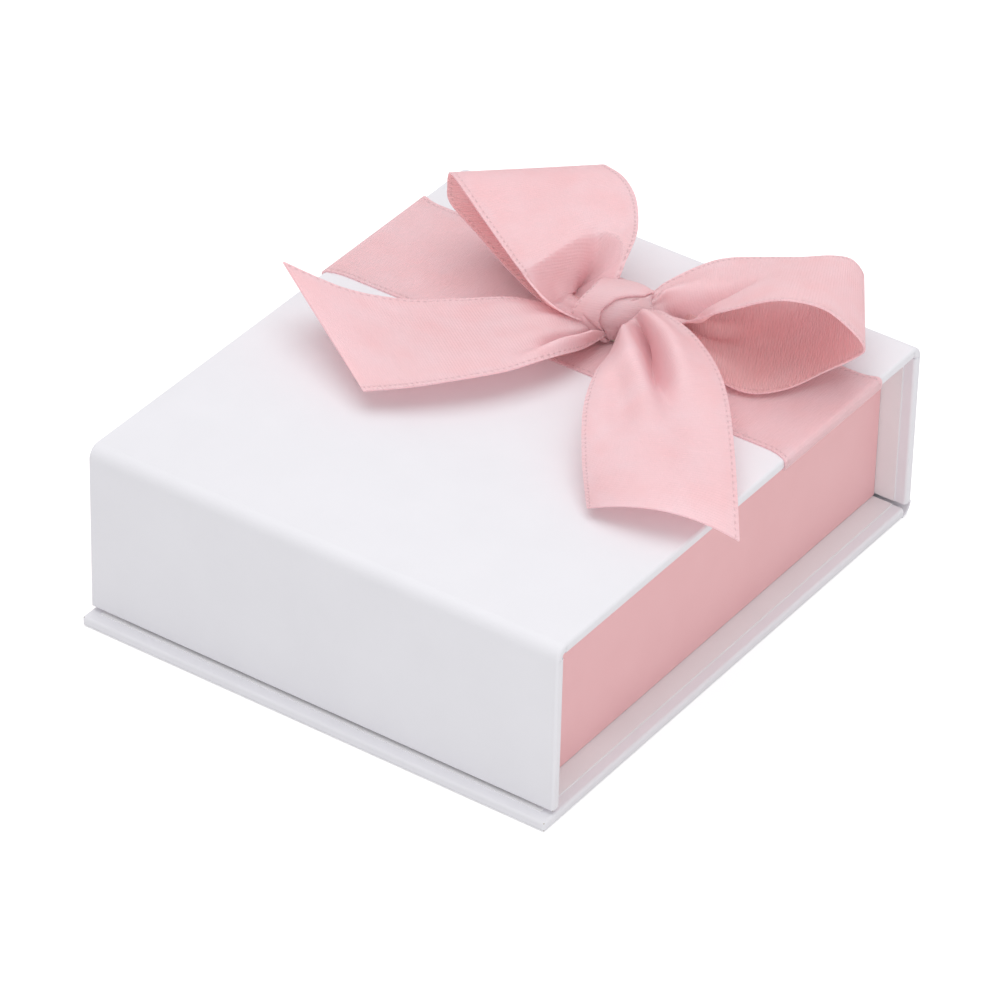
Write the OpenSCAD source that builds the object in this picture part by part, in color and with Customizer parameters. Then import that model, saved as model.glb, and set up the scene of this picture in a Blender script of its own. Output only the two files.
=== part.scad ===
// Book-style rigid gift box: a wrapped-board cover with a magnetic front flap, a paper-covered
// tray inside, and a ribbon band with a tied bow on the lid.
// +X is to the right, -Y to the front flap, +Z up. The origin is the centre of the base's underside.

/* [Cover] */
// Width of every cover panel, side to side
cover_w = 85; // [75:1:110]
// Depth of the closed cover, from the flap's face to the spine's face
box_d = 98; // [90:1:130]
// Height of the closed cover
box_h = 31.6; // [26:0.2:50]
// How far the base panel reaches in front of the flap
base_lip = 2.2; // [0.6:0.2:5]
// Thickness of the greyboard in the cover's panels
board_t = 1.4; // [1.2:0.1:2.2]
// Thickness of the wrapping and lining papers with their glue
paper_t = 0.16; // [0.1:0.02:0.3]
// Width of wrapping paper turned over onto a panel's inner face
turn_in = 12; // [6:1:12]
// Margin from a panel's edge to the edge of its lining
lining_margin = 2; // [1:0.5:4]
// Space between the inner corners of two panels at a closed crease
crease_gap = 0.35; // [0.3:0.05:0.8]
// Clearance of a crease strip and of the flap's foot from what they move against
fold_clear = 0.4; // [0.3:0.1:0.8]

/* [Tray] */
// Distance from the tray's sides to the edges of the cover
tray_inset = 5.5; // [2:0.5:10]
// Thickness of the tray's greyboard
tray_board_t = 1.5; // [1.3:0.1:2.5]
// Space between the tray's rim and the lid's inner face
lid_gap = 0.7; // [0.7:0.1:2]
// Space between the tray's front and the flap's inner face
flap_gap = 0.4; // [0.3:0.1:1.5]
// Depth of the pink paper turned over the rim into the tray
rim_turn = 10; // [5:1:14]
// Width of the pink paper turned under the tray
foot_turn = 8; // [4:1:12]
// Distance from the rim down to the edge of the tray's lining
lining_drop = 2; // [1:0.5:4]
// Width of each leg of a corner tape
tape_w = 9; // [5:1:14]

/* [Catch] */
// Diameter of the magnets and of the steel discs they hold to
disc_d = 10; // [6:1:12]
// Thickness of the magnets and of the steel discs
disc_t = 1; // [0.5:0.1:1]
// Space round a disc in its pocket
disc_clear = 0.05; // [0.02:0.01:0.1]
// Distance between the centres of the two discs
disc_pitch = 40; // [20:1:50]
// Height of the discs' centres above the table
disc_z = 13; // [11:0.5:15]

/* [Ribbon] */
// Width of the ribbon
ribbon_w = 25; // [20:0.5:26]
// Thickness of the ribbon
ribbon_t = 0.4; // [0.3:0.05:0.5]
// Distance from the spine's face to the band's centre line
band_back = 25.4; // [22:0.2:34]
// Length of the band's ends under the lid's lining
band_tuck = 12; // [5:1:14]
// Distance of the knot to the right of the box's middle
knot_x = 4; // [-4:0.5:6]

/* [Bow] */
// Radius of the knot at its middle
knot_r = 4.6; // [4:0.1:4.8]
// Radius of the knot at its ends
knot_end_r = 3.4; // [2.8:0.1:3.8]
// Length of the knot
knot_l = 11; // [10:0.5:13]
// Width of the raised turn of ribbon round the knot
turn_w = 5; // [3:0.5:6]
// Space between the knot and the ribbons that come out of it
exit_gap = 0.4; // [0.3:0.1:0.8]
// Diameter of the glue dot under the knot
glue_d = 6; // [5:0.5:10]
// Thickness of the glue between the band and the knot
glue_t = 0.6; // [0.3:0.1:1]
// Reach of the left loop from the knot
loop_left_reach = 25; // [22:0.5:28]
// Reach of the right loop from the knot
loop_right_reach = 30; // [26:0.5:30]
// Reach of the left tail from the knot
tail_left_reach = 40; // [34:0.5:42]
// Reach of the front tail from the knot
tail_front_reach = 46; // [38:0.5:50]
// Rise of the front tail's middle above its edges
tail_crown = 2.4; // [0:0.1:3.5]

/* [Hidden] */

cover_white = "whitesmoke";
lining_grey = "gainsboro";
tray_pink = "rosybrown";
ribbon_pink = "lightpink";
greyboard = "darkkhaki";
metal = "silver";

$fn = 64;
eps = 0.01;

// A panel is a board between its wrap, the wrap's turned-in edge and its lining
panel_t = board_t + 3 * paper_t;
wrapped_t = board_t + 2 * paper_t;
crease_t = 2 * paper_t;
crease_r = panel_t + crease_gap;

base_d = box_d + base_lip;
front_y = base_lip - base_d / 2;
back_y = base_d / 2;
flap_foot = panel_t + fold_clear;

base_len = base_d - crease_r;
spine_len = box_h - 2 * crease_r;
lid_len = box_d - 2 * crease_r;
flap_len = box_h - crease_r - flap_foot;

// Outside of the papered tray
tray_w = cover_w - 2 * tray_inset;
tray_y0 = front_y + panel_t + flap_gap;
tray_d = back_y - panel_t - tray_y0;
tray_z0 = panel_t;
tray_h = box_h - panel_t - lid_gap - tray_z0;
// Insets of the boards' outer faces, inner faces and of the finished inside
board_in = paper_t;
wall_in = paper_t + tray_board_t;
lined_in = wall_in + 2 * paper_t;
wall_h = tray_h - 2 * paper_t - tray_board_t;

band_y = back_y - band_back;
band_z = box_h + ribbon_t;

// The knot lies along this direction on the band
knot_turn = 20;
knot_z = band_z + glue_t + knot_r;
knot_end = knot_l / 2 + exit_gap;
// How far a tail comes out beside the knot's middle, and in front of its axis
tail_left_along = -0.45 * knot_l;
tail_left_out = knot_r + exit_gap;
tail_front_along = 0.1 * knot_l;
tail_front_out = knot_r + exit_gap;

// Each row of a ribbon gives its centre as a share of the ribbon's reach from where it leaves the
// knot, the direction across it as a turn about Z and a tilt, its width as a share of the
// ribbon's, and the rise of its middle as a share of the crown: [x, y, z, turn, tilt, width, crown]
loop_left_rows = [
    [0, 0, 0.29, 110, 0, 0.32, 0],
    [-0.05, 0.13, 0.35, 95, 4, 0.60, 0],
    [-0.14, 0.19, 0.44, 80, 0, 0.84, 0],
    [-0.33, 0.28, 0.54, 60, 0, 0.97, 0],
    [-0.53, 0.37, 0.61, 49, 1, 0.98, 0],
    [-0.73, 0.47, 0.62, 42, 2, 0.98, 0],
    [-0.85, 0.54, 0.54, 38, 2, 0.98, 0],
    [-0.83, 0.53, 0.44, 38, 2, 0.98, 0],
    [-0.65, 0.42, 0.34, 45, 1, 0.98, 0],
    [-0.38, 0.28, 0.24, 58, 0, 0.92, 0],
    [-0.14, 0.12, 0.18, 80, 0, 0.60, 0],
    [0, 0, 0.14, 110, 0, 0.32, 0]];
loop_right_rows = [
    [0, 0, 0.22, 110, 0, 0.32, 0],
    [0.12, 0.14, 0.28, 116, -6, 0.68, 0],
    [0.37, 0.23, 0.40, 118, -17, 0.92, 0],
    [0.61, 0.30, 0.48, 118, -20, 0.96, 0],
    [0.80, 0.35, 0.44, 120, -12, 0.96, 0],
    [0.94, 0.40, 0.34, 124, -3, 0.94, 0],
    [0.89, 0.38, 0.19, 120, -2, 0.96, 0],
    [0.75, 0.34, 0.09, 119, -1, 0.96, 0],
    [0.56, 0.24, 0.05, 118, 0, 0.96, 0],
    [0.35, 0.12, 0.05, 115, 0, 0.84, 0],
    [0.12, 0.03, 0.08, 112, 0, 0.52, 0],
    [0, 0, 0.10, 110, 0, 0.32, 0]];
tail_left_rows = [
    [0, 0, 0.12, 130, 0, 0.30, 0],
    [-0.07, -0.12, 0.13, 137, 3, 0.56, 0],
    [-0.23, -0.24, 0.10, 136, -6, 0.92, 0],
    [-0.38, -0.42, 0.10, 136, -4, 0.98, 0],
    [-0.53, -0.55, 0.11, 137, 1, 0.99, 0],
    [-0.72, -0.70, 0.18, 153, 15, 1.13, 0]];
tail_front_rows = [
    [0, 0, 0.14, 20, 0, 0.32, 0],
    [0.20, -0.16, 0.18, 55, 0, 0.60, 0.3],
    [0.32, -0.31, 0.16, 44, 2, 0.77, 1],
    [0.43, -0.44, 0.13, 39, 2, 0.87, 1],
    [0.52, -0.55, 0.08, 38, 2, 0.90, 1],
    [0.69, -0.76, 0.035, 16, 1, 0.90, 1]];
steps_per_row = 3;
strips_across = 6;

// ---- Shared shapes ----

// A block across the box's middle, from corner [y0, z0] with size [w, d, h]
module block(w, y0, d, z0, h) {
    translate([-w / 2, y0, z0])
        cube([w, d, h]);
}

// A panel lies along +Y with its outer face down. An end is free (wrapped round) or creased.
module panel_board(len, near_free, far_free) {
    y0 = near_free ? paper_t : 0;
    y1 = len - (far_free ? paper_t : 0);
    block(cover_w - 2 * paper_t, y0, y1 - y0, paper_t, board_t);
}

module panel_wrap(len, near_free, far_free) {
    y0 = near_free ? paper_t : -eps;
    y1 = len - (far_free ? paper_t : -eps);
    w0 = near_free ? turn_in : -eps;
    w1 = len - (far_free ? turn_in : -eps);
    difference() {
        block(cover_w, 0, len, 0, wrapped_t);
        block(cover_w - 2 * paper_t, y0, y1 - y0, paper_t, board_t);
        block(cover_w - 2 * turn_in, w0, w1 - w0, paper_t + board_t / 2, wrapped_t);
    }
}

module panel_lining(len, near_free, far_free) {
    y0 = near_free ? lining_margin : 0;
    y1 = len - (far_free ? lining_margin : 0);
    difference() {
        block(cover_w - 2 * lining_margin, y0, y1 - y0, paper_t + board_t, 2 * paper_t);
        panel_wrap(len, near_free, far_free);
    }
}

module on_base() {
    translate([0, -base_d / 2, 0])
        children();
}

module on_spine() {
    translate([0, back_y, crease_r])
        rotate([90, 0, 0])
            children();
}

module on_lid() {
    translate([0, back_y - crease_r, box_h])
        rotate([180, 0, 0])
            children();
}

module on_flap() {
    translate([0, front_y, box_h - crease_r])
        rotate([-90, 0, 0])
            children();
}

// Quarter round strip of two plies of paper across the box, round the axis [y, z]. It fills the
// quarter towards [side_y, side_z] and stops short of its lower end by cut.
module crease_strip(y, z, side_y, side_z, cut) {
    translate([0, y, z])
        rotate([90, 0, 90])
            linear_extrude(cover_w, center = true)
                scale([side_y, side_z])
                    intersection() {
                        difference() {
                            circle(crease_r);
                            circle(crease_r - crease_t);
                        }
                        translate([0, cut])
                            square(crease_r);
                    }
}

// A block of the tray's outline, drawn in from its outside, between two heights above its foot
module tray_block(inset, z0, z1) {
    block(tray_w - 2 * inset, tray_y0 + inset, tray_d - 2 * inset, tray_z0 + z0, z1 - z0);
}

// The two discs of the catch, standing across Y with their front faces at y
module catch_discs(y, r, depth) {
    for (x = [-disc_pitch / 2, disc_pitch / 2])
        translate([x, y, disc_z])
            rotate([-90, 0, 0])
                cylinder(r = r, h = depth);
}

// ---- Cover ----

module base_board() {
    color(greyboard)
        on_base()
            panel_board(base_len, true, false);
}

module base_wrap() {
    color(cover_white)
        on_base()
            panel_wrap(base_len, true, false);
}

module base_lining() {
    color(lining_grey)
        on_base()
            panel_lining(base_len, true, false);
}

module base_crease() {
    color(cover_white)
        crease_strip(back_y - crease_r, crease_r, 1, -1, 0);
}

module spine_board() {
    color(greyboard)
        on_spine()
            panel_board(spine_len, false, false);
}

module spine_wrap() {
    color(cover_white)
        on_spine()
            panel_wrap(spine_len, false, false);
}

module spine_lining() {
    color(lining_grey)
        on_spine()
            panel_lining(spine_len, false, false);
}

module lid_crease() {
    color(cover_white)
        crease_strip(back_y - crease_r, box_h - crease_r, 1, 1, fold_clear);
}

module lid_board() {
    color(greyboard)
        on_lid()
            panel_board(lid_len, false, false);
}

module lid_wrap() {
    color(cover_white)
        on_lid()
            panel_wrap(lid_len, false, false);
}

// The lining runs over the tucked ends of the band in two low pads
module lid_lining() {
    pad_w = band_tuck - lining_margin + paper_t;
    pad_d = ribbon_w + 2 * paper_t;
    pad_h = ribbon_t + paper_t;
    color(lining_grey)
        difference() {
            union() {
                on_lid()
                    panel_lining(lid_len, false, false);
                for (x = [lining_margin - cover_w / 2, cover_w / 2 - lining_margin - pad_w])
                    translate([x, band_y - pad_d / 2, box_h - wrapped_t - pad_h])
                        cube([pad_w, pad_d, pad_h]);
            }
            band_solid();
        }
}

module flap_crease() {
    color(cover_white)
        crease_strip(front_y + crease_r, box_h - crease_r, -1, 1, fold_clear);
}

module flap_board() {
    color(greyboard)
        difference() {
            on_flap()
                panel_board(flap_len, false, true);
            catch_discs(front_y + paper_t + board_t - disc_t, disc_d / 2 + disc_clear, disc_t + eps);
        }
}

module flap_wrap() {
    color(cover_white)
        on_flap()
            panel_wrap(flap_len, false, true);
}

module flap_lining() {
    color(lining_grey)
        on_flap()
            panel_lining(flap_len, false, true);
}

module flap_magnets() {
    color(metal)
        catch_discs(front_y + paper_t + board_t - disc_t, disc_d / 2, disc_t);
}

// ---- Tray ----

module tray_floor() {
    color(greyboard)
        tray_block(board_in, paper_t, paper_t + tray_board_t);
}

module tray_wall(y0, catch) {
    difference() {
        block(tray_w - 2 * board_in, y0, tray_board_t, tray_z0 + wall_in, wall_h);
        if (catch)
            catch_discs(y0 - eps, disc_d / 2 + disc_clear, disc_t + eps);
    }
}

module tray_front() {
    color(greyboard)
        tray_wall(tray_y0 + board_in, true);
}

module tray_back() {
    color(greyboard)
        tray_wall(tray_y0 + tray_d - wall_in, false);
}

module tray_side(x0) {
    translate([x0, tray_y0 + wall_in, tray_z0 + wall_in])
        cube([tray_board_t, tray_d - 2 * wall_in, wall_h]);
}

module tray_left() {
    color(greyboard)
        tray_side(board_in - tray_w / 2);
}

module tray_right() {
    color(greyboard)
        tray_side(tray_w / 2 - wall_in);
}

// Four L-shaped tapes up the inner corners, from the floor to the turned-in paper
module tapes_solid() {
    h0 = wall_in;
    h1 = tray_h - rim_turn;
    difference() {
        tray_block(wall_in, h0, h1);
        tray_block(wall_in + paper_t, h0 - eps, h1 + eps);
        block(tray_w, tray_y0 + wall_in + tape_w, tray_d - 2 * (wall_in + tape_w), 0, box_h);
        block(tray_w - 2 * (wall_in + tape_w), tray_y0, tray_d, 0, box_h);
    }
}

module corner_tapes() {
    color(cover_white)
        tapes_solid();
}

// Pink paper up the outside, over the rim, down inside the walls and under the foot
module wrap_solid() {
    difference() {
        tray_block(0, 0, tray_h);
        difference() {
            tray_block(board_in, paper_t, tray_h - paper_t);
            tray_block(wall_in, wall_in, tray_h);
        }
        tray_block(wall_in, wall_in - eps, tray_h - rim_turn);
        tray_block(wall_in + paper_t, wall_in, tray_h + eps);
        tray_block(foot_turn, -eps, paper_t + eps);
    }
}

module tray_wrap() {
    color(tray_pink)
        wrap_solid();
}

module tray_lining() {
    color(tray_pink)
        difference() {
            tray_block(wall_in, wall_in, tray_h - lining_drop);
            tray_block(lined_in, lined_in, tray_h);
            wrap_solid();
            tapes_solid();
        }
}

module catch_plates() {
    color(metal)
        catch_discs(tray_y0 + board_in, disc_d / 2, disc_t);
}

// ---- Ribbon ----

// Across the lid, round its side edges and under it
module band_solid() {
    y0 = band_y - ribbon_w / 2;
    under_z = box_h - wrapped_t;
    difference() {
        block(cover_w + 2 * ribbon_t, y0, ribbon_w, under_z - ribbon_t, wrapped_t + 2 * ribbon_t);
        block(cover_w, y0 - eps, ribbon_w + 2 * eps, under_z, wrapped_t);
        block(cover_w - 2 * band_tuck, y0 - eps, ribbon_w + 2 * eps, under_z - ribbon_t - eps,
              ribbon_t + 2 * eps);
    }
}

module ribbon_band() {
    color(ribbon_pink)
        band_solid();
}

// Barrel with a raised turn round its middle, along the knot's direction
module knot_solid() {
    barrel_r = knot_r - ribbon_t;
    bulge = barrel_r - knot_end_r;
    translate([knot_x, band_y, knot_z])
        rotate([0, 0, knot_turn])
            rotate([0, 90, 0])
                rotate_extrude()
                    union() {
                        polygon([
                            [0, -knot_l / 2],
                            for (a = [-90:15:90])
                                [knot_end_r + bulge * cos(a), knot_l / 2 * sin(a)],
                            [0, knot_l / 2]]);
                        translate([0, -turn_w / 2])
                            square([knot_r, turn_w]);
                    }
}

module bow_knot() {
    color(ribbon_pink)
        knot_solid();
}

// The dot fills the space between the band and the knot's underside
module bow_glue() {
    color("ivory")
        difference() {
            translate([knot_x, band_y, band_z])
                cylinder(d = glue_d, h = glue_t + knot_r / 3);
            knot_solid();
        }
}

// The place beside the knot's middle: along its axis, and out in front of it
function knot_side(along, out) = [
    knot_x + along * cos(knot_turn) + out * sin(knot_turn),
    band_y + along * sin(knot_turn) - out * cos(knot_turn),
    box_h];

// Catmull-Rom curve through the rows, at s rows from the first
function row_at(rows, s) =
    let (last = len(rows) - 1,
         i = min(floor(s), last - 1),
         f = s - i,
         a = rows[max(i - 1, 0)],
         b = rows[i],
         c = rows[i + 1],
         d = rows[min(i + 2, last)])
    b + 0.5 * f * (c - a + f * (2 * a - 5 * b + 4 * c - d + f * (3 * b - a - 3 * c + d)));

function place(row) = [row[0], row[1], row[2]];

function across(row) = [
    cos(row[4]) * cos(row[3]),
    cos(row[4]) * sin(row[3]),
    sin(row[4])];

function unit(v) = v / norm(v);

// The ribbon's outward normal at s, from its run and its direction across
function normal_at(rows, s) =
    let (h = 0.05,
         last = len(rows) - 1,
         run = place(row_at(rows, min(s + h, last))) - place(row_at(rows, max(s - h, 0))))
    unit(cross(run, across(row_at(rows, s))));

// One point of the ribbon at s, v from -1 to 1 across it, side -1 or 1 of its thickness
function ribbon_point(rows, from, reach, crown, s, v, side) =
    let (row = row_at(rows, s))
    from + reach * place(row) + v * ribbon_w / 2 * row[5] * across(row)
    + (crown * row[6] * (1 - v * v) + side * ribbon_t / 2) * normal_at(rows, s);

// A ribbon swept through its rows as a closed solid. Each ring runs along one side of the
// ribbon's thickness and back along the other.
module ribbon(rows, from, reach, crown) {
    rings = (len(rows) - 1) * steps_per_row;
    half = strips_across + 1;
    ring = 2 * half;
    points = [
        for (i = [0:rings], j = [0:ring - 1])
            let (k = j < half ? j : ring - 1 - j)
            ribbon_point(rows, from, reach, crown, i / steps_per_row,
                         2 * k / strips_across - 1, j < half ? 1 : -1)];
    sides = [
        for (i = [0:rings - 1], j = [0:ring - 1], t = [0, 1])
            let (a = i * ring + j,
                 b = i * ring + (j + 1) % ring)
            t == 0 ? [a, b, b + ring] : [a, b + ring, a + ring]];
    ends = [
        for (j = [0:strips_across - 1], t = [0, 1], far = [0, 1])
            let (o = far * rings * ring,
                 a = o + j,
                 b = o + j + 1,
                 c = o + ring - 2 - j,
                 d = o + ring - 1 - j)
            far == 0
                ? (t == 0 ? [a, c, b] : [a, d, c])
                : (t == 0 ? [a, b, c] : [a, c, d])];
    polyhedron(points, concat(sides, ends));
}

module bow_loop_left() {
    color(ribbon_pink)
        ribbon(loop_left_rows, knot_side(-knot_end, 0), loop_left_reach, 0);
}

module bow_loop_right() {
    color(ribbon_pink)
        ribbon(loop_right_rows, knot_side(knot_end, 0), loop_right_reach, 0);
}

module bow_tail_left() {
    color(ribbon_pink)
        ribbon(tail_left_rows, knot_side(tail_left_along, tail_left_out), tail_left_reach, 0);
}

module bow_tail_front() {
    color(ribbon_pink)
        ribbon(tail_front_rows, knot_side(tail_front_along, tail_front_out), tail_front_reach,
               tail_crown);
}

base_board();
base_wrap();
base_lining();
base_crease();
spine_board();
spine_wrap();
spine_lining();
tray_floor();
tray_front();
tray_back();
tray_left();
tray_right();
corner_tapes();
tray_wrap();
tray_lining();
catch_plates();
lid_board();
lid_wrap();
lid_lining();
lid_crease();
ribbon_band();
bow_glue();
bow_knot();
bow_loop_left();
bow_loop_right();
bow_tail_left();
bow_tail_front();
flap_crease();
flap_board();
flap_wrap();
flap_lining();
flap_magnets();
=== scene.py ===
import math

import bpy
import numpy as np
from mathutils import Matrix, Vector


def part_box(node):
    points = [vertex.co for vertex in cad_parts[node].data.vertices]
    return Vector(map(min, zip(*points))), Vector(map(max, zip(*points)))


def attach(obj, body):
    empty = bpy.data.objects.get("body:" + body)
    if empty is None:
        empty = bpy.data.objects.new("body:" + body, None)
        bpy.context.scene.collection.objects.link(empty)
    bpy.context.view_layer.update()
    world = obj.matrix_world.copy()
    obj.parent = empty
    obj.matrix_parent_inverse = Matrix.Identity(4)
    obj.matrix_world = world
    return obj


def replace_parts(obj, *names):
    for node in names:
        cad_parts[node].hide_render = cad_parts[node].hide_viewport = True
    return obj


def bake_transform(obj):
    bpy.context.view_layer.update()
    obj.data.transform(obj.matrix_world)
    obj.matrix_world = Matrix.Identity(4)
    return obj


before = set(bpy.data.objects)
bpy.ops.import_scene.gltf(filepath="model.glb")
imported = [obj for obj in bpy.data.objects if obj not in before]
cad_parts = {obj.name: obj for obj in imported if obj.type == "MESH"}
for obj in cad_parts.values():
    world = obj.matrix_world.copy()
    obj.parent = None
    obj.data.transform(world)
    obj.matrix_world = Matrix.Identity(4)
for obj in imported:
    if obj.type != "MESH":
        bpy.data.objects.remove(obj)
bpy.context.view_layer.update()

# Lengths are in mm in the CAD's frame, and MM turns them to metres. X runs across the box, Y from
# its front to its back, and Z up.
MM = 0.001
X, Y, Z = np.eye(3)

# The ribbon in mm: its width and thickness, the pitch of its ribs, the width of the selvedge along
# each edge, and the pitch of the selvedge's stitches
RIBBON_W, RIBBON_T = 25.0, 0.3
RIB_PITCH = 0.45
SELVEDGE = 1.4
STITCH_PITCH = 1.0


# ---- Materials ----

def srgb(code):
    """A hex colour as linear RGBA: each channel c is c / 12.92 up to 0.04045, and above it
    ((c + 0.055) / 1.055) to the power 2.4."""
    c = np.array([int(code[i:i + 2], 16) for i in (1, 3, 5)]) / 255
    return [*np.where(c <= 0.04045, c / 12.92, ((c + 0.055) / 1.055) ** 2.4), 1.0]


def add(tree, kind, settings=None, stops=(), **links):
    """One shader node of that kind, with its settings by property name or by an input's name or
    number, a colour ramp's two stops as (position, hex colour), and links into its inputs by name
    (spaces as _) or by number (as _0, _1). A link comes from an output, or from a node, which
    stands for its first output."""
    node = tree.nodes.new("ShaderNode" + kind)
    for key, value in (settings or {}).items():
        if isinstance(key, int) or key in node.inputs:
            node.inputs[key].default_value = value
        else:
            setattr(node, key, value)
    for k, (position, code) in enumerate(stops):
        node.color_ramp.elements[k].position = position
        node.color_ramp.elements[k].color = srgb(code)
    for key, source in links.items():
        name = int(key[1:]) if key[0] == "_" else key.replace("_", " ")
        tree.links.new(getattr(source, "outputs", [source])[0], node.inputs[name])
    return node


def new_material(name):
    """A material with an empty node tree, as (material, tree)."""
    material = bpy.data.materials.new(name)
    material.use_nodes = True
    material.node_tree.nodes.clear()
    return material, material.node_tree


def paper(name, light, dark, roughness, fibre, relief):
    """Wrapping or lining paper: a cloudy tone between two close colours, in clouds 9 mm across,
    and fibres as low relief. fibre is their length in mm and relief the bump's height in mm."""
    material, tree = new_material(name)
    place = add(tree, "TexCoord").outputs["Object"]
    clouds = add(tree, "TexNoise", {"Scale": 1 / (9 * MM), "Detail": 3.0}, Vector=place)
    fibres = add(tree, "TexNoise", {"Scale": 1 / (fibre * MM), "Detail": 4.0, "Roughness": 0.65},
                 Vector=place)
    tone = add(tree, "ValToRGB", stops=((0.3, dark), (0.7, light)), Fac=clouds)
    rough = add(tree, "MapRange", {"To Min": roughness - 0.05, "To Max": roughness + 0.05},
                Value=fibres)
    bump = add(tree, "Bump", {"Strength": 0.5, "Distance": relief * MM}, Height=fibres)
    skin = add(tree, "BsdfPrincipled", {"IOR": 1.5, "Specular IOR Level": 0.35},
               Base_Color=tone, Roughness=rough, Normal=bump)
    add(tree, "OutputMaterial", Surface=skin)
    return material


def satin(name, light, dark, roughness, rib_height, sheen, thin):
    """Polyester satin ribbon, from the cloth_mm attribute: x runs along the ribbon, y across it
    from its middle. Fine floats of yarn along it, ribs of rib_height mm across it, and along both
    edges a stitched selvedge. thin is the share of the light that goes through."""
    material, tree = new_material(name)
    cloth = add(tree, "Attribute", {"attribute_name": "cloth_mm"}).outputs["Vector"]
    split = add(tree, "SeparateXYZ", Vector=cloth)
    edge = add(tree, "Math", {"operation": "ABSOLUTE"}, _0=split.outputs["Y"])

    def wave(pitch):
        """A sine from -1 to 1 along the ribbon, which repeats every pitch mm."""
        angle = add(tree, "Math", {"operation": "MULTIPLY", 1: 2 * math.pi / pitch},
                    _0=split.outputs["X"])
        return add(tree, "Math", {"operation": "SINE"}, _0=angle)

    # floats of yarn lie along the ribbon, 8 of them to 1 mm of its width: they are drawn twice
    # their real size, so they show. The mottle is 6 mm across.
    floats_per_mm = (1.2, 8.0, 1.0)
    floats_at = add(tree, "VectorMath", {"operation": "MULTIPLY", 1: floats_per_mm}, _0=cloth)
    floats = add(tree, "TexNoise", {"Scale": 1.0, "Detail": 2.0}, Vector=floats_at)
    ribs = wave(RIB_PITCH)
    mottle = add(tree, "TexNoise", {"Scale": 1 / 6.25, "Detail": 2.0}, Vector=cloth)
    tone = add(tree, "ValToRGB", stops=((0.3, dark), (0.7, light)), Fac=mottle)

    # a groove with a hole at each stitch parts the selvedge from the satin: its middle is 0.25 mm
    # into the selvedge, and it fades out 0.32 mm from there. The selvedge itself rises in an arch
    # between two stitches.
    inner = RIBBON_W / 2 - SELVEDGE
    band = add(tree, "MapRange", {"interpolation_type": "SMOOTHSTEP", "From Min": inner - 0.2,
                                  "From Max": inner + 0.1}, Value=edge)
    from_groove = add(tree, "Math", {"operation": "SUBTRACT", 1: inner + 0.25}, _0=edge)
    from_groove = add(tree, "Math", {"operation": "ABSOLUTE"}, _0=from_groove)
    groove = add(tree, "MapRange", {"interpolation_type": "SMOOTHSTEP", "From Min": 0.32,
                                    "From Max": 0.05}, Value=from_groove)
    stitch = add(tree, "MapRange", {"From Min": -0.3, "From Max": 0.8}, Value=wave(STITCH_PITCH))
    hole = add(tree, "Math", {"operation": "MULTIPLY"}, _0=groove, _1=stitch)
    arch = add(tree, "Math", {"operation": "ABSOLUTE"}, _0=wave(2 * STITCH_PITCH))
    arch = add(tree, "Math", {"operation": "MULTIPLY"}, _0=band, _1=arch)

    # painted shade darkens the tone in the stitch holes and between the ribs, and the tone is
    # uneven along the floats
    shade = add(tree, "Math", {"operation": "MULTIPLY_ADD", 1: -0.12, 2: 1.0}, _0=hole)
    uneven = add(tree, "MapRange", {"To Min": 0.965, "To Max": 1.03}, Value=floats)
    painted_rib_shade = add(tree, "Math", {"operation": "MULTIPLY_ADD", 1: 0.44 * rib_height, 2: 0.985},
                 _0=ribs)
    for part in (uneven, painted_rib_shade):
        shade = add(tree, "Math", {"operation": "MULTIPLY"}, _0=shade, _1=part)
    colour = add(tree, "VectorMath", {"operation": "SCALE"}, _0=tone, Scale=shade)

    # the relief in mm
    height = add(tree, "Math", {"operation": "MULTIPLY", 1: 0.05}, _0=floats)
    for part, rise in ((ribs, rib_height), (arch, 0.10), (hole, -0.12)):
        height = add(tree, "Math", {"operation": "MULTIPLY_ADD", 1: rise}, _0=part, _2=height)
    bump = add(tree, "Bump", {"Strength": 0.8, "Distance": MM}, Height=height)
    skin = add(tree, "BsdfPrincipled",
               {"Roughness": roughness, "IOR": 1.5, "Specular IOR Level": 0.4,
                "Sheen Weight": sheen, "Sheen Roughness": 0.4, "Sheen Tint": srgb("#FFE8EA")},
               Base_Color=colour, Normal=bump)
    through = add(tree, "BsdfTranslucent", Color=colour, Normal=bump)
    both = add(tree, "MixShader", {"Fac": thin}, _1=skin, _2=through)
    add(tree, "OutputMaterial", Surface=both)
    return material


def greyboard():
    """Recycled greyboard: grey-brown with dark and pale flecks of old print and fibre."""
    material, tree = new_material("recycled_greyboard")
    place = add(tree, "TexCoord").outputs["Object"]
    flecks = add(tree, "TexNoise", {"Scale": 1 / (0.7 * MM), "Detail": 5.0}, Vector=place)
    tone = add(tree, "ValToRGB", stops=((0.35, "#8F877B"), (0.65, "#B3AB9E")), Fac=flecks)
    bump = add(tree, "Bump", {"Strength": 0.4, "Distance": 0.05 * MM}, Height=flecks)
    skin = add(tree, "BsdfPrincipled", {"Roughness": 0.9}, Base_Color=tone, Normal=bump)
    add(tree, "OutputMaterial", Surface=skin)
    return material


def plated_steel():
    """Nickel-plated steel: a bright metal with a fine uneven polish."""
    material, tree = new_material("nickel_plated_steel")
    place = add(tree, "TexCoord").outputs["Object"]
    polish = add(tree, "TexNoise", {"Scale": 1 / (0.5 * MM), "Detail": 3.0}, Vector=place)
    rough = add(tree, "MapRange", {"To Min": 0.22, "To Max": 0.38}, Value=polish)
    skin = add(tree, "BsdfPrincipled", {"Base Color": srgb("#C9C7C3"), "Metallic": 1.0},
               Roughness=rough)
    add(tree, "OutputMaterial", Surface=skin)
    return material


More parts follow.
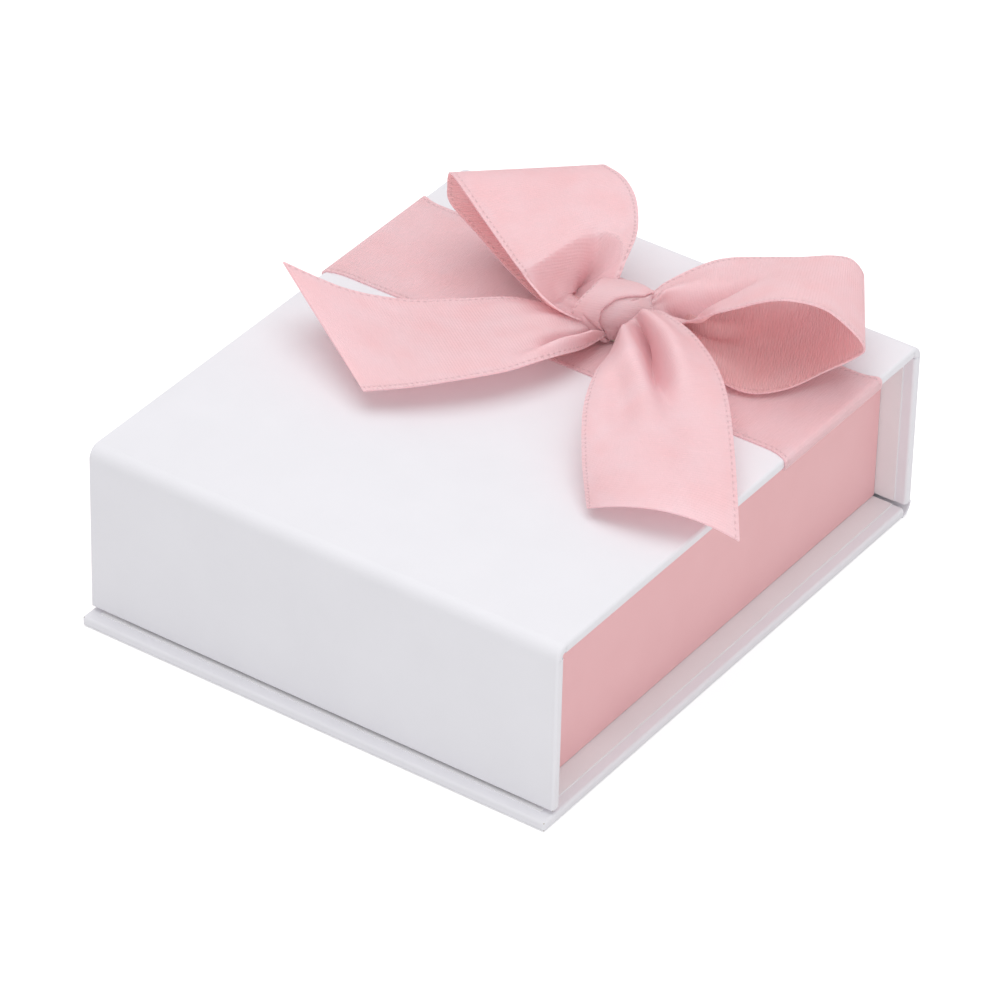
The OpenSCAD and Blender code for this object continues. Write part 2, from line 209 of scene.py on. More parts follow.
def hot_glue():
    """Set hot-melt glue: a milky, smooth blob with a waxy gloss."""
    material, tree = new_material("hot_melt_glue")
    place = add(tree, "TexCoord").outputs["Object"]
    waves = add(tree, "TexNoise", {"Scale": 1 / (2.5 * MM)}, Vector=place)
    tone = add(tree, "ValToRGB", stops=((0.0, "#DDD5C4"), (1.0, "#EEE8DA")), Fac=waves)
    bump = add(tree, "Bump", {"Strength": 0.5, "Distance": 0.2 * MM}, Height=waves)
    skin = add(tree, "BsdfPrincipled", {"Roughness": 0.35, "IOR": 1.48}, Base_Color=tone,
               Normal=bump)
    add(tree, "OutputMaterial", Surface=skin)
    return material


# Coated wrapping paper: smooth, matt, faintly cool white
white_paper = paper("matt_white_wrapping_paper", "#E7E6EB", "#E5E4E9", roughness=0.55,
                    fibre=0.35, relief=0.012)
# Uncoated lining paper: a little greyer, with more tooth
liner_paper = paper("uncoated_lining_paper", "#ECEBED", "#E9E8EA", roughness=0.75,
                    fibre=0.30, relief=0.03)
# Dyed wrapping paper with a fine calendered surface
pink_paper = paper("dyed_pink_wrapping_paper", "#EDBBBE", "#EBB8BB", roughness=0.60,
                   fibre=0.30, relief=0.015)
# Gummed kraft tape: brown and fibrous
kraft_tape = paper("gummed_kraft_tape", "#C2A67F", "#B59871", roughness=0.80,
                   fibre=0.50, relief=0.04)
# The satin's face: smooth floats with a soft broad gloss and the ribs only faint
satin_face = satin("polyester_satin_face", "#FFE4E9", "#FFDDE1", roughness=0.42,
                   rib_height=0.016, sheen=0.25, thin=0.38)
# The satin's reverse: dull, with the weft showing as ribs 0.45 mm apart
satin_back = satin("polyester_satin_reverse", "#FFE6E6", "#FFE2E2", roughness=0.62,
                   rib_height=0.05, sheen=0.0, thin=0.6)


# ---- Meshes ----

def put(name, points, faces, materials, face_material=None, cloth=None):
    """A mesh object from points in mm and groups of faces as rows of indices. face_material is
    the number of each face's material, and cloth is each point's place on the ribbon. Edges
    sharper than 35 degrees stay sharp."""
    mesh = bpy.data.meshes.new(name)
    faces = [face for group in faces for face in group.tolist()]
    mesh.from_pydata((points * MM).tolist(), [], faces)
    for material in materials:
        mesh.materials.append(material)
    if face_material is not None:
        mesh.polygons.foreach_set("material_index", np.asarray(face_material, np.int32))
    mesh.polygons.foreach_set("use_smooth", np.ones(len(faces), bool))
    if cloth is not None:
        layer = mesh.attributes.new("cloth_mm", "FLOAT_VECTOR", "POINT")
        layer.data.foreach_set("vector", np.asarray(cloth, np.float32).ravel())
    mesh.set_sharp_from_angle(angle=math.radians(35))
    mesh.update()
    obj = bpy.data.objects.new(name, mesh)
    bpy.context.scene.collection.objects.link(obj)
    return obj


def ring_faces(rows, ring):
    """Quads between neighbouring rings of points, each ring closed on itself."""
    i = np.arange(rows - 1)[:, None] * ring
    j = np.arange(ring)[None, :]
    k = (j + 1) % ring
    return np.stack([i + j, i + k, i + ring + k, i + ring + j], -1).reshape(-1, 4)


def rounded_rectangle(low, high, radius, per_corner):
    """Points round the rectangle from low to high: four quarter circles of the radius, one about
    each corner of the rectangle drawn in by the radius."""
    turn = np.linspace(0, math.pi / 2, per_corner)
    angle = np.concatenate([turn + k * math.pi / 2 for k in range(4)])
    (x0, y0), (x1, y1) = np.add(low, radius), np.subtract(high, radius)
    x = np.repeat([x1, x0, x0, x1], per_corner) + radius * np.cos(angle)
    y = np.repeat([y1, y1, y0, y0], per_corner) + radius * np.sin(angle)
    return np.column_stack([x, y])


def node_box(node):
    """A CAD node's corners in mm."""
    low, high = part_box(node)
    return np.array(low) / MM, np.array(high) / MM


# ---- View ----

# The camera's place in mm, the directions to its right, up and back, its focal length and sensor
# width in mm, and the side of its square view in pixels
VIEW_PLACE = np.array([448.95, -661.62, 581.53])
VIEW_RIGHT = np.array([0.8186, 0.5740, 0.0204])
VIEW_UP = np.array([-0.3465, 0.4652, 0.8146])
VIEW_BACK = np.array([0.4580, -0.6739, 0.5797])
FOCAL, SENSOR = 231.88, 36.0
VIEW_PX = 1000


# ---- Cover ----

lid_lo, lid_hi = node_box("lid_wrap")
base_lo, base_hi = node_box("base_wrap")
spine_lo, spine_hi = node_box("spine_wrap")
flap_lo, flap_hi = node_box("flap_wrap")
cover_top, half_w = lid_hi[2], lid_hi[0]
wrap_t = lid_hi[2] - lid_lo[2]
front_y, back_y = flap_lo[1], spine_hi[1]
crease_r = cover_top - flap_hi[2]
# The radius of a panel's edges, and the number of points round one
edge_r = 0.5
edge_points = 6
# The thickness of a crease that bends, and the thickness and edge radius of the fixed one
fold_t = 1.45
base_fold_t, base_fold_r = 0.32, 0.15
# The paper runs on by this much past a board's end at a crease, and so hides the board
end_lap = 0.05


def wrapped_board(name, path, inward, thick, radius, rounded):
    """A board in its paper: a rounded rectangle as wide as the box, carried along a path in the YZ
    plane. The path is on the outer face, and depth runs from it along inward. rounded says whether
    its start and its end are rounded. At such an end the section draws in by
    radius - sqrt(radius^2 - d^2), with d from 0 to the radius over the last stretch. The section's
    own corners are never rounder than the radius nor sharper than 0.12 mm."""
    sharpest = 0.12
    path, inward = np.asarray(path, float), np.asarray(inward, float)
    run = np.linalg.norm(np.diff(path, axis=0), axis=1)
    s = np.concatenate([[0], np.cumsum(run)])
    near, far = radius, s[-1] - radius
    bend = radius * np.sin(np.linspace(0, math.pi / 2, edge_points))
    stops = [s]
    if rounded[0]:
        stops.append(near - bend)
    if rounded[1]:
        stops.append(far + bend)
    stops = np.unique(np.round(np.concatenate(stops), 5))
    past = np.zeros(len(stops))
    if rounded[0]:
        past = np.maximum(past, near - stops)
    if rounded[1]:
        past = np.maximum(past, stops - far)
    draw = radius - np.sqrt(radius ** 2 - np.clip(past, 0, radius) ** 2)
    centre = np.stack([np.interp(stops, s, path[:, k]) for k in range(3)], 1)
    normal = np.stack([np.interp(stops, s, inward[:, k]) for k in range(3)], 1)
    rings = []
    for k in range(len(stops)):
        low, high = (draw[k] - half_w, draw[k]), (half_w - draw[k], thick - draw[k])
        corner = max(radius - draw[k], sharpest)
        section = rounded_rectangle(low, high, corner, edge_points)
        rings.append(centre[k] + section[:, :1] * X + section[:, 1:] * normal[k])
    ring = len(rings[0])
    caps = np.array([np.arange(ring)[::-1], np.arange(ring) + (len(stops) - 1) * ring])
    faces = [ring_faces(len(stops), ring), caps]
    if np.dot(np.cross(X, normal[0]), centre[1] - centre[0]) < 0:
        faces = [group[:, ::-1] for group in faces]
    return put(name, np.concatenate(rings), faces, [white_paper])


def quarter_round(y, z, radius, start):
    """A path of a quarter turn about the axis at y, z: at an angle a from start to start + 90
    degrees its point is (y, z) + radius * (cos a, sin a). Returns the path, and the direction
    inward at each of its points."""
    angle = np.radians(np.linspace(start, start + 90, 17))
    out = np.stack([np.zeros(len(angle)), np.cos(angle), np.sin(angle)], 1)
    return np.array([0, y, z]) + radius * out, -out


def panel(name, start, stop, inward, rounded, body, node):
    """A panel of the cover, from start to stop as (y, z) on its outer face. It rides on its body
    in place of the CAD node."""
    path = [[0, *start], [0, *stop]]
    board = wrapped_board(name, path, [inward, inward], wrap_t, edge_r, rounded)
    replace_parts(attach(board, body), node)


def crease(name, y, z, start, thick, radius, bodies, node):
    """A crease: a quarter round of paper about the axis at y, z, from the angle start on. It rides
    on its one body; with two bodies it keeps its place and rides on neither."""
    path, inward = quarter_round(y, z, crease_r, start)
    fold = wrapped_board(name, path, inward, thick, radius, (False, False))
    if len(bodies) == 1:
        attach(fold, bodies[0])
    else:
        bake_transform(fold)
    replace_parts(fold, node)


panel("lid_cover", (lid_hi[1] + end_lap, cover_top), (lid_lo[1] - end_lap, cover_top), -Z,
      (False, False), "lid", "lid_wrap")
panel("flap_cover", (front_y, flap_hi[2] + end_lap), (front_y, flap_lo[2]), Y,
      (False, True), "flap", "flap_wrap")
panel("spine_cover", (back_y, spine_lo[2] - end_lap), (back_y, spine_hi[2] + end_lap), -Y,
      (False, False), "base", "spine_wrap")
panel("base_cover", (base_lo[1], 0), (base_hi[1] + end_lap, 0), Z,
      (True, False), "base", "base_wrap")
crease("base_spine_crease", back_y - crease_r, crease_r, -90, base_fold_t, base_fold_r,
       ["base"], "base_crease")
crease("spine_lid_crease", back_y - crease_r, cover_top - crease_r, 0, fold_t, edge_r,
       ["base", "lid"], "lid_crease")
crease("lid_flap_crease", front_y + crease_r, cover_top - crease_r, 90, fold_t, edge_r,
       ["lid", "flap"], "flap_crease")


# ---- Tray ----

def tray_paper_piece():
    """The pink paper round the tray: a profile of (inset, height) carried round the tray's
    rounded outline. It runs from under the foot up the outside, over the rim, down the inside,
    and back along its own inner face. The outline's corners keep their radius at every inset."""
    low, high = node_box("tray_wrap")
    foot, rim = low[2], high[2]
    paper_t, wall = 0.16, 1.82
    foot_turn, rim_turn = 8, 10
    edge, corner = 0.35, 0.4
    turn = np.linspace(0, math.pi / 2, 5)
    sweep = edge * np.column_stack([np.sin(turn), np.cos(turn)])
    profile = np.concatenate([
        [(foot_turn, foot)],
        (edge, foot + edge) - sweep,
        (edge, rim - edge) + sweep[:, ::-1] * (-1, 1),
        (wall - edge, rim - edge) + sweep,
        [(wall, rim - rim_turn), (wall - paper_t, rim - rim_turn), (wall - paper_t, rim - paper_t),
         (paper_t, rim - paper_t), (paper_t, foot + paper_t), (foot_turn, foot + paper_t)]])
    rings = []
    for inset, z in profile:
        flat = rounded_rectangle(low[:2] + inset, high[:2] - inset, corner, 7)
        rings.append(np.column_stack([flat, np.full(len(flat), z)]))
    points = np.concatenate(rings)
    faces = ring_faces(len(rings) + 1, len(rings[0])) % len(points)
    return put("tray_paper", points, [faces], [pink_paper])


tray = tray_paper_piece()
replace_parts(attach(tray, "base"), "tray_wrap")


# ---- Ribbon ----

# The knot: its middle, the direction of its axis along the bow and the one to its front
KNOT_TURN = math.radians(20)
KNOT_MIDDLE = np.array([4.0, 24.7, cover_top + 5.0])
KNOT_AXIS = np.array([math.cos(KNOT_TURN), math.sin(KNOT_TURN), 0])
KNOT_FRONT = np.array([math.sin(KNOT_TURN), -math.cos(KNOT_TURN), 0])
# The middle of the ribbons' ends in the knot, a little above its own
ROOT = KNOT_MIDDLE + 0.6 * Z


def seen(u, v, rise):
    """The point at pixel (u, v) of the camera's view, rise mm above the lid: the camera's place
    plus the pixel's ray, drawn out until its height is the lid's top plus rise."""
    across, down = (np.array([u, v]) - VIEW_PX / 2) * SENSOR / (FOCAL * VIEW_PX)
    ray = across * VIEW_RIGHT - down * VIEW_UP - VIEW_BACK
    return VIEW_PLACE + ray * (cover_top + rise - VIEW_PLACE[2]) / ray[2]


def knot_at(along, angle, radius):
    """The point along the knot's axis by so much and out from it by the radius, at an angle in
    degrees from the front over the top."""
    a = math.radians(angle)
    return ROOT + along * KNOT_AXIS + radius * (math.cos(a) * KNOT_FRONT + math.sin(a) * Z)


def lid_at(x, y, rise):
    """The point at x, y and rise mm above the lid."""
    return np.array([x, y, cover_top + rise])


def curve_through(rows, steps):
    """The Catmull-Rom curve through the rows, with that many steps between two rows: a cubic from
    each row to the next, whose slope at a row is half the way from the row before to the row
    after."""
    rows = np.asarray(rows, float)
    p = np.vstack([rows[:1], rows, rows[-1:]])
    s = np.arange((len(rows) - 1) * steps + 1) / steps
    i = np.minimum(s.astype(int), len(rows) - 2)
    f = (s - i)[:, None]
    a, b, c, d = p[i], p[i + 1], p[i + 2], p[i + 3]
    return b + 0.5 * f * (c - a + f * (2 * a - 5 * b + 4 * c - d + f * (3 * b - a - 3 * c + d)))


def unit(v):
    """The vectors at length 1."""
    return v / np.linalg.norm(v, axis=-1, keepdims=True)


def surface_normal(grid):
    """The normal at each point of a grid: its run along, crossed with its run across."""
    return unit(np.cross(np.gradient(grid, axis=0), np.gradient(grid, axis=1)))


def smooth(x):
    """An even rise from 0 at x = 0 to 1 at x = 1, level at both: 3 x^2 - 2 x^3."""
    x = np.clip(x, 0, 1)
    return x * x * (3 - 2 * x)


def sheet_piece(name, grid, body, nodes):
    """A closed sheet from a grid of points along and across the ribbon: its face is half the
    thickness out along the normal, its reverse half the thickness in, and a strip closes it all
    round. The face takes the satin, the reverse its dull side. On the cloth, the outer 2.5 mm of
    both edges keep their scale, and the middle between them takes up what is gathered."""
    margin = 2.5
    n, m = grid.shape[:2]
    step = np.linalg.norm(np.diff(grid, axis=0), axis=2).mean(1)
    along = np.concatenate([[0], np.cumsum(step)])
    gap = np.linalg.norm(np.diff(grid, axis=1), axis=2)
    run = np.concatenate([np.zeros((n, 1)), np.cumsum(gap, axis=1)], 1)
    across = np.clip(run, 0, margin) - np.clip(run[:, -1:] - run, 0, margin)
    across = across + (RIBBON_W - 2 * margin) * (run / run[:, -1:] - 0.5)
    cloth = np.stack(np.broadcast_arrays(along[:, None], across, 0.0), -1)
    lift = RIBBON_T / 2 * surface_normal(grid)
    points = np.concatenate([grid + lift, (grid - lift)[:, ::-1]], 1).reshape(-1, 3)
    coords = np.concatenate([cloth, cloth[:, ::-1]], 1).reshape(-1, 3)
    ring = 2 * m
    j = np.arange(m - 1)
    end = np.stack([j, j + 1, ring - 2 - j, ring - 1 - j], 1)
    faces = [ring_faces(n, ring)[:, ::-1], end, (end + (n - 1) * ring)[:, ::-1]]
    column = np.tile(np.arange(ring), n - 1)
    index = np.where((column >= m) & (column < ring - 1), 1, 0)
    index = np.concatenate([index, np.zeros(2 * (m - 1), int)])
    obj = put(name, points, faces, [satin_face, satin_back], index, coords)
    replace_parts(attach(obj, body), *nodes)


# How far a brow dips, in mm, and how long its roll is, in rows
BROW_DIP = 4.8
BROW_ROLL = 0.45


def ribbon_grid(rows, folds, steps=24, brow=None):
    """A ribbon between two edge curves. Each row is (point on edge A, point on edge B, crown,
    gather), in mm. A point at v from -1 on edge A to 1 on edge B lies on the line between them,
    raised along the normal by crown * (1 - v^2), by the gather times 0.6 sin(7.4 v + 0.6) +
    0.4 sin(13.1 v - 1.1), and by each fold. A fold is a ridge (or with a negative height a
    valley) along a line from (s0, v0) to (s1, v1), with s in rows:
    height * exp(-((v - line) / width)^2), fading in over its first quarter and out over its last
    45%. A brow is a line of (v, s): at p rows past it, on the knot's side, the ribbon dips by
    BROW_DIP * (1 - exp(-p / BROW_ROLL)), less towards its edges and towards the knot."""
    across = 72
    q = curve_through([[*a, *b, crown, gather] for a, b, crown, gather in rows], steps)
    s = np.linspace(0, len(rows) - 1, len(q))[:, None]
    v = np.linspace(-1, 1, across + 1)[None, :]
    a, b = q[:, None, 0:3], q[:, None, 3:6]
    flat = a * ((1 - v) / 2)[..., None] + b * ((1 + v) / 2)[..., None]
    waves = 0.6 * np.sin(7.4 * v + 0.6) + 0.4 * np.sin(13.1 * v - 1.1)
    rise = q[:, None, 6] * (1 - v ** 2) + q[:, None, 7] * waves
    for s0, v0, s1, v1, width, height in folds:
        t = np.clip((s - s0) / (s1 - s0), 0, 1)
        fade = smooth(t / 0.25) * smooth((1 - t) / 0.45)
        rise = rise + height * fade * np.exp(-((v - v0 - (v1 - v0) * t) / width) ** 2)
    if brow is not None:
        line = curve_through(brow, 12)
        past = np.interp(v, line[:, 0], line[:, 1]) - s
        dip = BROW_DIP * (1 - np.exp(-np.clip(past, 0, None) / BROW_ROLL))
        side = (1 - v ** 6) * smooth((1 + v) / 0.7)
        rise = rise - side * dip * smooth((s - 0.2) / 1.4)
    return flat + rise[..., None] * surface_normal(flat)


def band_piece():
    """The band: a path under the lid, round one side edge, across the lid and round the other,
    carried along the ribbon's width, which spreads by a factor 1 + 0.07 exp(-(d / 1.8)^2) at the
    distance d mm from the side edges. The CAD's band is 0.4 mm thick: this one lies where its
    inner face is over and under the lid, and where its outer face is at the side edges."""
    cad_t, tuck = 0.4, 12
    low, high = node_box("ribbon_band")
    mid_y = (low[1] + high[1]) / 2
    half = high[0] - RIBBON_T / 2
    top, foot = high[2] - cad_t + RIBBON_T / 2, low[2] + cad_t - RIBBON_T / 2
    r = edge_r + RIBBON_T / 2
    turn = np.linspace(0, math.pi / 2, 9)
    bend = r * np.column_stack([np.sin(turn), np.cos(turn)])
    right = np.concatenate([[(half_w - tuck, foot)], (half - r, foot + r) + bend * (1, -1),
                            (half - r, top - r) + bend[:, ::-1]])
    left = right[::-1] * (-1, 1)
    span = np.linspace(right[-1], left[0], 60)[1:-1]
    x, z = np.concatenate([right, span, left]).T[:, :, None]
    v = np.linspace(-RIBBON_W / 2, RIBBON_W / 2, 61)
    spread = 1 + 0.07 * np.exp(-((np.abs(x) - half) / 1.8) ** 2)
    grid = np.stack(np.broadcast_arrays(x, mid_y - spread * v, z), -1)
    sheet_piece("ribbon_band_satin", grid, "lid", ["ribbon_band"])


band_piece()

# The stretches of the bow, as rows for ribbon_grid. Each starts in the knot, and a loop ends in it
# as well. Edge A is the near edge of the right loop, the left edge of the front tail, and the far
# edge of the left loop and of the left tail.
LOOP_LEFT = [
    (knot_at(-3.2, 105, 2.3), knot_at(-1.4, -48, 3.9), 0.3, 0.5),
    (seen(617, 281, 8.2), seen(573, 317, 5.2), -0.6, 0.5),
    (seen(628, 256, 10.8), seen(546, 300, 8.0), -1.2, 0.2),
    (seen(637.5, 230, 12.8), seen(520, 270, 11.1), 0.2, 0.0),
    (seen(636, 200, 14.2), seen(498, 240, 12.8), 0.8, 0.0),
    (seen(625, 179, 15.2), seen(477, 210, 14.2), 0.3, 0.0),
    (seen(610, 168, 15.7), seen(457, 181, 14.9), 0.0, 0.0),
    (seen(601, 166, 14.2), seen(449, 173, 13.4), 0.0, 0.0),
    (seen(598, 182, 11), seen(447, 186, 10.9), 0.0, 0.0),
    (seen(600, 204, 8.2), seen(450, 203, 8.6), 0.0, 0.0),
    (seen(612, 228, 6), seen(475, 232, 6.2), 0.0, 0.0),
    (seen(618, 254, 4), seen(510, 271, 4), 0.0, 0.3),
    (seen(612, 276, 3.2), seen(548, 303, 3.2), 0.0, 0.8),
    (knot_at(-3.5, 150, 2.4), knot_at(-3.5, -30, 2.4), 0.0, 0.6)]

LOOP_RIGHT = [
    (knot_at(3.4, -10, 2.3), knot_at(3.9, 95, 1.7), 0.3, 0.4),
    (seen(664, 322, 4.8), seen(663, 284, 7.8), 0.5, 0.3),
    (seen(688, 325, 6.6), seen(697, 267, 9), -0.5, 0.1),
    (seen(720, 316, 11), seen(726, 258.5, 9.6), -0.4, 0.0),
    (seen(750, 304.5, 15.2), seen(765, 257.5, 10.3), 0.0, 0.0),
    (seen(785, 300, 18.2), seen(800, 257.5, 10.6), 0.0, 0.0),
    (seen(822, 308, 16.6), seen(832, 256, 11.2), 0.0, 0.0),
    (seen(848, 327, 12.9), seen(852, 260, 11.3), 0.0, 0.0),
    (seen(864, 347, 9.2), seen(863, 275, 9.9), 0.0, 0.0),
    (seen(856, 357, 5.6), lid_at(31.9, 47.6, 8), 0.0, 0.0),
    (seen(826, 371, 3), lid_at(29.6, 46.9, 6.1), 0.0, 0.0),
    (seen(785, 389, 1.6), lid_at(25.2, 44.6, 4.3), 0.0, 0.0),
    (seen(745, 392, 1.3), lid_at(19.6, 39.9, 4.2), 0.0, 0.0),
    (seen(705, 374, 1.8), lid_at(15.3, 33.4, 3.8), -0.6, 0.9),
    (seen(668, 345, 2.8), lid_at(10.6, 31.4, 3.8), -0.6, 1.5),
    (knot_at(3.2, -20, 2.4), knot_at(3.2, 150, 2.4), 0.0, 0.8)]

TAIL_LEFT = [
    (knot_at(-1.6, -50, 2.8), knot_at(-0.2, -78, 4), 0.0, 0.2),
    (seen(566, 309, 4.2), seen(588, 347, 2.6), 0.0, 0.2),
    (seen(515, 297, 6), seen(560, 357, 4.2), 0.0, 0.2),
    (seen(455, 299, 4.2), seen(505, 371, 5), 0.0, 0.0),
    (seen(405, 299.5, 4), seen(455, 380, 4.8), 0.0, 0.0),
    (seen(345, 288.5, 5.5), seen(408, 387, 4.2), 0.0, 0.0),
    (seen(283, 262, 10.9), seen(363, 391, 3.5), 0.0, 0.0)]

TAIL_FRONT = [
    (knot_at(0.6, -60, 2.8), knot_at(4.2, 28, 2.9), 0.0, 0.0),
    (seen(611, 351, 5.4), seen(668, 315, 8.6), 1.0, 0.0),
    (seen(594, 375, 7.6), seen(700, 342, 8.8), 1.6, 0.0),
    (seen(583, 410, 7.2), seen(724, 385, 7.6), 2.0, 0.0),
    (seen(582, 460, 4.6), seen(734, 450, 5.2), 2.4, 0.0),
    (seen(587, 508, 1.5), seen(739, 541, 1.9), 3.2, 0.0)]

# Folds for ribbon_grid, as [s0, v0, s1, v1, width, height]
LOOP_LEFT_FOLDS = [
    [0.6, 0.05, 3.8, -0.36, 0.16, -2.7],
    [0.6, 0.42, 2.9, 0.40, 0.14, 0.9],
    [0.6, 0.66, 2.8, 0.84, 0.12, -0.6],
    [0.6, -0.25, 2.8, -0.70, 0.14, 0.6]]

# The line of the left loop's brow, as [v, s]
LOOP_LEFT_BROW = [
    [-1.0, 0.8], [-0.88, 1.9], [-0.75, 2.7], [-0.55, 3.15], [-0.3, 3.32], [0.1, 3.26], [0.6, 3.05],
    [1.0, 2.95]]

LOOP_RIGHT_FOLDS = [
    [0.4, 0.20, 3.2, 0.35, 0.35, 1.4],
    [0.9, -0.40, 2.9, -0.78, 0.18, -1.6],
    [0.9, -0.46, 4.2, 0.10, 0.16, -2.8],
    [1.5, -1.00, 3.9, -1.00, 0.14, 0.8]]

TAIL_LEFT_FOLDS = [
    [0.35, 0.72, 3.0, 0.86, 0.14, 2.3],
    [0.2, 0.32, 2.5, 0.54, 0.15, -3.2],
    [0.2, -0.20, 2.6, -0.35, 0.30, 0.9]]

TAIL_FRONT_FOLDS = [
    [0.2, 0.02, 3.7, 0.17, 0.18, -5.4],
    [0.3, -0.40, 3.2, -0.28, 0.22, 1.5],
    [0.1, 0.48, 3.2, 0.46, 0.22, 1.5],
    [2.0, -0.50, 4.0, -0.42, 0.25, -1.6],
    [2.8, 0.30, 4.8, 0.50, 0.40, -1.0]]

sheet_piece("bow_left_loop_satin", ribbon_grid(LOOP_LEFT, LOOP_LEFT_FOLDS, brow=LOOP_LEFT_BROW),
            "lid", ["bow_loop_left"])
sheet_piece("bow_right_loop_satin", ribbon_grid(LOOP_RIGHT, LOOP_RIGHT_FOLDS), "lid",
            ["bow_loop_right"])
sheet_piece("bow_left_tail_satin", ribbon_grid(TAIL_LEFT, TAIL_LEFT_FOLDS, 48), "lid",
            ["bow_tail_left"])
sheet_piece("bow_front_tail_satin", ribbon_grid(TAIL_FRONT, TAIL_FRONT_FOLDS, 48), "lid",
            ["bow_tail_front"])

# The knot by the angle from its front over the top: its left selvedge, its tuck and its right edge,
# as (angle, mm along the axis), and its outer layer, as (angle, radius)
KNOT_LEFT = [
    (-180, -3.4), (-90, -3.6), (-65, -2.8), (-45, -2.6), (-36, -3.9), (-25, -5.6), (-6, -7.0),
    (15, -6.5), (36, -5.7), (63, -4.6), (90, -4.0), (130, -3.6), (180, -2.6)]
KNOT_TUCK = [
    (-180, -0.4), (-90, -0.4), (-45, -1.2), (-36, -1.7), (-3, -2.5), (19, -2.3), (30, -1.7),
    (49, -0.3), (60, 1.3), (75, 3.6), (110, 4.6), (180, -0.4)]
KNOT_RIGHT = [
    (-180, 2.8), (-90, 2.8), (-65, 1.4), (-45, 0.0), (-30, 0.7), (-1, 2.5), (23, 4.2), (31, 4.9),
    (41, 5.2), (60, 5.0), (90, 4.6), (130, 4.2), (180, 2.4)]
KNOT_OUTER = [
    (-180, 4.0), (-135, 5.2), (-90, 4.4), (-70, 4.75), (-55, 5.5), (-45, 5.8), (-20, 4.95),
    (20, 4.4), (90, 3.9), (180, 4.0)]

# Valleys on the knot, as (along0, along1, a0, a1, width, depth), angles and width in degrees
KNOT_CREASES = [
    (1.8, 3.1, 50, 65, 3.5, 0.40),
    (-5.3, -1.0, 8, -36, 4.0, 0.50)]


def knot_grid():
    """The knot's turn of ribbon round the axis of the bow, at angle a from the front over the top.
    Across it runs a profile of distance along the axis and radius: the outer layer from its
    selvedge to the tuck, where it doubles back under itself, and the inner layer, 0.55 mm lower,
    from there to the right edge. The knot tapers to the right, by 0.028 mm times the square of the
    distance past -1. Each crease is a valley on a line from (along0, a0) to (along1, a1), fading
    in and out over 0.3 of its length: depth * exp(-((a - line) / width)^2)."""
    a = np.linspace(-180, 180, 241)
    left, tuck, right, outer = [np.interp(a, *np.transpose(line))
                                for line in (KNOT_LEFT, KNOT_TUCK, KNOT_RIGHT, KNOT_OUTER)]
    inner = outer - 0.55
    wide, rest = tuck - left, right - tuck
    along = curve_through(
        [left, left + 0.06 * wide, left + 0.4 * wide, tuck - 0.15 * wide, tuck,
         tuck - 0.9, tuck - 0.1, tuck + 0.45 * rest, right - 0.15 * rest, right], 12)
    radius = curve_through(
        [outer - 0.5, outer - 0.2, outer, outer + 0.1, outer - 0.12,
         inner + 0.05, inner - 0.05, inner + 0.05, inner - 0.3, inner - 0.7], 12)
    along, radius = along.T, radius.T
    radius = radius - 0.028 * np.clip(along + 1, 0, None) ** 2
    for along0, along1, a0, a1, width, depth in KNOT_CREASES:
        t = np.clip((along - along0) / (along1 - along0), 0, 1)
        fade = smooth(t / 0.3) * smooth((1 - t) / 0.3)
        radius = radius - depth * fade * np.exp(-((a[:, None] - a0 - (a1 - a0) * t) / width) ** 2)
    angle = np.radians(a)[:, None, None]
    out = np.cos(angle) * KNOT_FRONT + np.sin(angle) * Z
    return KNOT_MIDDLE + along[..., None] * KNOT_AXIS + radius[..., None] * out


# Turned over across its width, the knot's grid has its face outward
sheet_piece("bow_knot_satin", knot_grid()[:, ::-1], "lid",
            ["bow_knot"])


# ---- CAD nodes that stay ----

kept = {
    liner_paper: ["base_lining", "spine_lining", "lid_lining", "flap_lining"],
    pink_paper: ["tray_lining"],
    kraft_tape: ["corner_tapes"],
    greyboard(): ["base_board", "spine_board", "lid_board", "flap_board", "tray_floor",
                  "tray_front", "tray_back", "tray_left", "tray_right"],
    plated_steel(): ["catch_plates", "flap_magnets"],
    hot_glue(): ["bow_glue"],
}
for material, nodes in kept.items():
    for node in nodes:
        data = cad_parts[node].data
        data.materials.clear()
        data.materials.append(material)


# ---- Studio ----

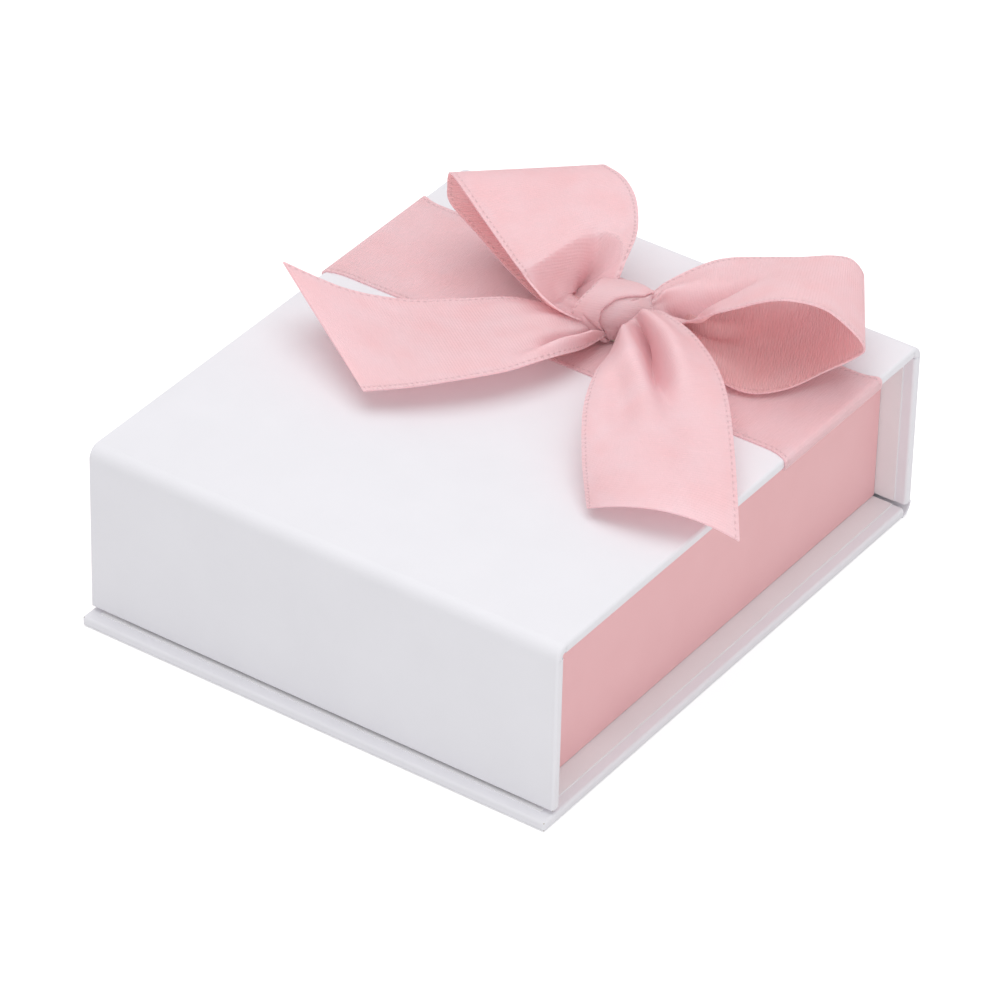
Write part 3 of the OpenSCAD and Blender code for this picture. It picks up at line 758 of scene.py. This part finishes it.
def studio_floor():
    """A plain pale floor. It shows white where the light is even, and keeps the shadow."""
    material, tree = new_material("studio_floor")
    path = add(tree, "LightPath")
    matt = add(tree, "BsdfDiffuse", {"Color": srgb("#F4F4F4")})
    glow = add(tree, "Emission", {"Color": srgb("#FFFFFF"), "Strength": 0.30})
    lifted = add(tree, "AddShader", _0=matt, _1=glow)
    pick = add(tree, "MixShader", _0=path.outputs["Is Camera Ray"], _1=matt, _2=lifted)
    add(tree, "OutputMaterial", Surface=pick)
    half_side = 4 / MM
    corners = half_side * np.array([(-1, -1, 0), (1, -1, 0), (1, 1, 0), (-1, 1, 0)])
    put("studio_floor", corners, [np.array([[0, 1, 2, 3]])], [material])


def studio_world(level):
    """White seen straight on, mirrored or through, and an even light of that level on
    everything."""
    world = bpy.data.worlds.new("studio")
    bpy.context.scene.world = world
    world.use_nodes = True
    tree = world.node_tree
    tree.nodes.clear()
    path = add(tree, "LightPath")
    white = path.outputs["Is Camera Ray"]
    for ray in ("Is Glossy Ray", "Is Transmission Ray"):
        white = add(tree, "Math", {"operation": "MAXIMUM"}, _0=white, _1=path.outputs[ray])
    strength = add(tree, "MapRange", {"To Min": level, "To Max": 1.0}, Value=white)
    sky = add(tree, "Background", {"Color": (1, 1, 1, 1)}, Strength=strength)
    add(tree, "OutputWorld", Surface=sky)


def stand(name, data, right, up, back, place):
    """A lamp or camera in the scene, with its axes to the right, up and back, at a place in m."""
    obj = bpy.data.objects.new(name, data)
    matrix = np.eye(4)
    matrix[:3] = np.column_stack([right, up, back, place])
    obj.matrix_world = Matrix(matrix.tolist())
    bpy.context.scene.collection.objects.link(obj)
    return obj


def softbox(name, place, size, power):
    """A square area lamp of that size in m and power in W, turned to face the box's middle."""
    lamp = bpy.data.lights.new(name, "AREA")
    lamp.shape = "SQUARE"
    lamp.size = size
    lamp.energy = power
    back = unit(np.array(place) - (0, 0, 20 * MM))
    right = unit(np.cross(Z, back))
    stand(name, lamp, right, np.cross(back, right), back, place)


def camera():
    """A camera with a long lens, at the view's place."""
    data = bpy.data.cameras.new("camera")
    data.lens = FOCAL
    data.sensor_width = SENSOR
    data.clip_start = 0.05
    data.clip_end = 20.0
    obj = stand("camera", data, VIEW_RIGHT, VIEW_UP, VIEW_BACK, VIEW_PLACE * MM)
    bpy.context.scene.camera = obj


studio_floor()
studio_world(0.59)
softbox("softbox_above", (-0.15, 0.10, 1.50), size=1.6, power=13.2)
softbox("softbox_front", (1.15, -0.95, 0.62), size=1.2, power=5.2)
camera()
bpy.context.scene.view_settings.view_transform = "Standard"
